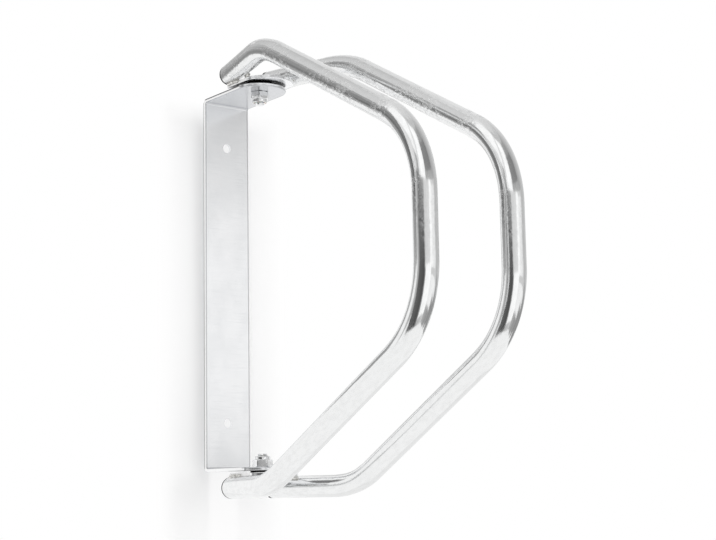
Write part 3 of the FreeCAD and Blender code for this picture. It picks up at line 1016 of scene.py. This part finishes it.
def add_card(card, stage):
    """Curved grey card that only shows in the metal's reflections."""
    centre = Vector((0, stage.card_centre, 0))
    distance = stage.card_distance * card.distance

    def place(up, along):
        azimuth = math.radians(between(card.azimuths, along))
        elevation = math.radians(between(card.elevations, up))
        return centre + studio_direction(azimuth, elevation) * distance

    def grey(up, along):
        return between(card.greys, along)

    finish = new_finish(card.name + "_grey")
    glow = finish.surface(finish.add("ShaderNodeEmission", {"Strength": finish.attribute("grey")}))
    sheet = add_sheet(card.name, CARD_GRID, place, {"grey": grey}, glow)
    for ray in ("camera", "diffuse", "transmission", "volume_scatter", "shadow"):
        setattr(sheet, "visible_" + ray, False)


def add_room(stage):
    """White room: plain white to look at and in reflections, softer as a light."""
    world = bpy.data.worlds.new("white_room")
    bpy.context.scene.world = world
    room = Finish(world, "ShaderNodeOutputWorld")
    path = room.add("ShaderNodeLightPath").outputs
    seen = room.math("MAXIMUM", path["Is Camera Ray"], path["Is Glossy Ray"], path["Is Transmission Ray"])
    strength = room.remap(seen, 0, 1, stage.room_light, 1)
    room.surface(room.add("ShaderNodeBackground", {"Color": (1, 1, 1, 1), "Strength": strength}))


def aim(thing, target, direction, distance, roll=0):
    """Stands a lamp or a camera off its target in one direction, and turns it to the target."""
    thing.location = target + direction * distance
    thing.rotation_mode = "QUATERNION"
    thing.rotation_quaternion = Quaternion(direction, roll) @ direction.to_track_quat("Z", "Y")


def add_key_lamp(stage):
    """Soft lamp from the right that throws the bracket's shadow on the wall."""
    lamp = bpy.data.lights.new("key_lamp", "AREA")
    lamp.energy = stage.key_power
    lamp.shape = "DISK"
    lamp.size = stage.key_size
    key = add_object("key_lamp", lamp)
    aim(key, MIDDLE, studio_direction(stage.key_azimuth, stage.key_elevation), stage.key_distance)
    key.visible_glossy = False


def add_camera(stage):
    """Camera at the viewing angle of the picture."""
    data = bpy.data.cameras.new("camera")
    data.sensor_fit = "HORIZONTAL"
    data.lens = stage.camera_lens
    camera = add_object("camera", data)
    bpy.context.scene.camera = camera
    direction = studio_direction(stage.camera_azimuth, stage.camera_elevation)
    aim(camera, Vector(stage.camera_target), direction, stage.camera_distance, stage.camera_roll)


# Operators

class RACK_OT_hoops(bpy.types.Operator):
    """Makes the two bent tube hoops"""

    bl_idname = "rack.make_hoops"
    bl_label = "Make Hoops"

    def execute(self, context):
        settings = context.scene.rack
        finish = zinc_tube_finish(settings.colours)
        for side, sign in SIDES.items():
            mesh = hoop_mesh(side + "_tube", settings.hoops, sign)
            add_piece(mesh, SWINGING, side + "_hoop", finish)
        return {"FINISHED"}


class RACK_OT_welds(bpy.types.Operator):
    """Makes the weld beads between the tubes and the swivel plates"""

    bl_idname = "rack.make_welds"
    bl_label = "Make Welds"

    def execute(self, context):
        settings = context.scene.rack
        sizes = settings.welds
        finish = weld_finish(settings.colours)
        draws = random.Random(sizes.seed)
        lines = {"outer": outer_bead_line, "inner": inner_bead_line}
        radii = {"outer": dict.fromkeys(SIDES, sizes.outer_radius),
                 "inner": {"left": sizes.left_inner_radius, "right": sizes.inner_radius}}
        for side, sign in SIDES.items():
            for level in LEVELS:
                for place, line in lines.items():
                    points = line(settings.hoops, sizes, sign)
                    if level == "lower":
                        points = [turn_over(point) for point in points]
                    name = side + "_" + level + "_" + place
                    mesh = bead_mesh(name + "_bead", *points, radii[place][side], sizes, draws)
                    add_piece(mesh, SWINGING, name + "_weld", finish)
        return {"FINISHED"}


class RACK_OT_fasteners(bpy.types.Operator):
    """Makes the pivot bolts and lock nuts, and finishes the nylon rings"""

    bl_idname = "rack.make_fasteners"
    bl_label = "Make Fasteners"

    def execute(self, context):
        settings = context.scene.rack
        sizes = settings.fasteners
        finish = zinc_fastener_finish(settings.colours)
        turns = {"upper": sizes.upper_nut_turn, "lower": sizes.lower_nut_turn}
        for level in LEVELS:
            bolt = bolt_mesh(level, sizes)
            nut = nut_mesh(level, sizes, turns[level])
            add_piece(bolt, FIXED, level + "_pivot_bolt", finish)
            add_piece(nut, FIXED, level + "_lock_nut", finish)
        paint_nodes([level + "_nut_insert" for level in LEVELS], nylon_finish(settings.colours))
        return {"FINISHED"}


class RACK_OT_strip(bpy.types.Operator):
    """Finishes the wall bracket and the swivel plates"""

    bl_idname = "rack.finish_strip"
    bl_label = "Finish Strip"

    def execute(self, context):
        colours = context.scene.rack.colours
        paint_nodes(["wall_bracket"], zinc_strip_finish("zinc_plated_strip", colours, BARE_STRIP))
        plate_finish = zinc_strip_finish("zinc_plated_plate", colours, BARE_PLATE)
        paint_nodes([level + "_swivel_plate" for level in LEVELS], plate_finish)
        return {"FINISHED"}


class RACK_OT_plugs(bpy.types.Operator):
    """Finishes the black plugs in the tube ends and the slide washers"""

    bl_idname = "rack.finish_plugs"
    bl_label = "Finish Plugs"

    def execute(self, context):
        finish = black_plastic_finish(context.scene.rack.colours)
        paint_nodes([side + "_" + level + "_plug" for side in SIDES for level in LEVELS], finish)
        paint_nodes([level + "_slide_washer" for level in LEVELS], finish)
        return {"FINISHED"}


class RACK_OT_stage(bpy.types.Operator):
    """Builds the white studio: wall, floor, cards, light and camera"""

    bl_idname = "rack.build_stage"
    bl_label = "Build Stage"

    def execute(self, context):
        stage = context.scene.rack.stage
        context.scene.view_settings.view_transform = "Standard"
        add_room(stage)
        add_wall(stage)
        add_floor(stage)
        for card in CARDS:
            add_card(card, stage)
        add_key_lamp(stage)
        add_camera(stage)
        return {"FINISHED"}


STEPS = (RACK_OT_hoops, RACK_OT_welds, RACK_OT_fasteners, RACK_OT_strip, RACK_OT_plugs, RACK_OT_stage)


class RACK_PT_panel(bpy.types.Panel):
    """Lists the steps that make the rack and its settings"""

    bl_idname = "RACK_PT_panel"
    bl_label = "Bike Rack"
    bl_space_type = "VIEW_3D"
    bl_region_type = "UI"
    bl_category = "Bike Rack"

    def draw(self, context):
        settings = context.scene.rack
        for step in STEPS:
            self.layout.operator(step.bl_idname)
        for part in settings.__annotations__:
            values = getattr(settings, part)
            box = self.layout.box()
            box.label(text=part.capitalize())
            for name in values.__annotations__:
                box.prop(values, name)


GROUPS = (HoopSizes, WeldSizes, FastenerSizes, FinishColours, StageSettings, RackSettings)
CLASSES = (*GROUPS, *STEPS, RACK_PT_panel)


def register():
    """Adds the classes and the settings to Blender."""
    for kind in CLASSES:
        bpy.utils.register_class(kind)
    bpy.types.Scene.rack = group(RackSettings, "Rack")


def unregister():
    """Takes them away again."""
    del bpy.types.Scene.rack
    for kind in reversed(CLASSES):
        bpy.utils.unregister_class(kind)


def main():
    """Makes the whole rack and works out its size beside that of the frame, without keeping it."""
    register()
    bpy.ops.rack.make_hoops()
    bpy.ops.rack.make_welds()
    bpy.ops.rack.make_fasteners()
    bpy.ops.rack.finish_strip()
    bpy.ops.rack.finish_plugs()
    bpy.ops.rack.build_stage()
    boxes = {"cad": CAD_BOX, "visual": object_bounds()}
    {name: [list(corner) for corner in box] for name, box in boxes.items()}


if __name__ == "__main__":
    main()
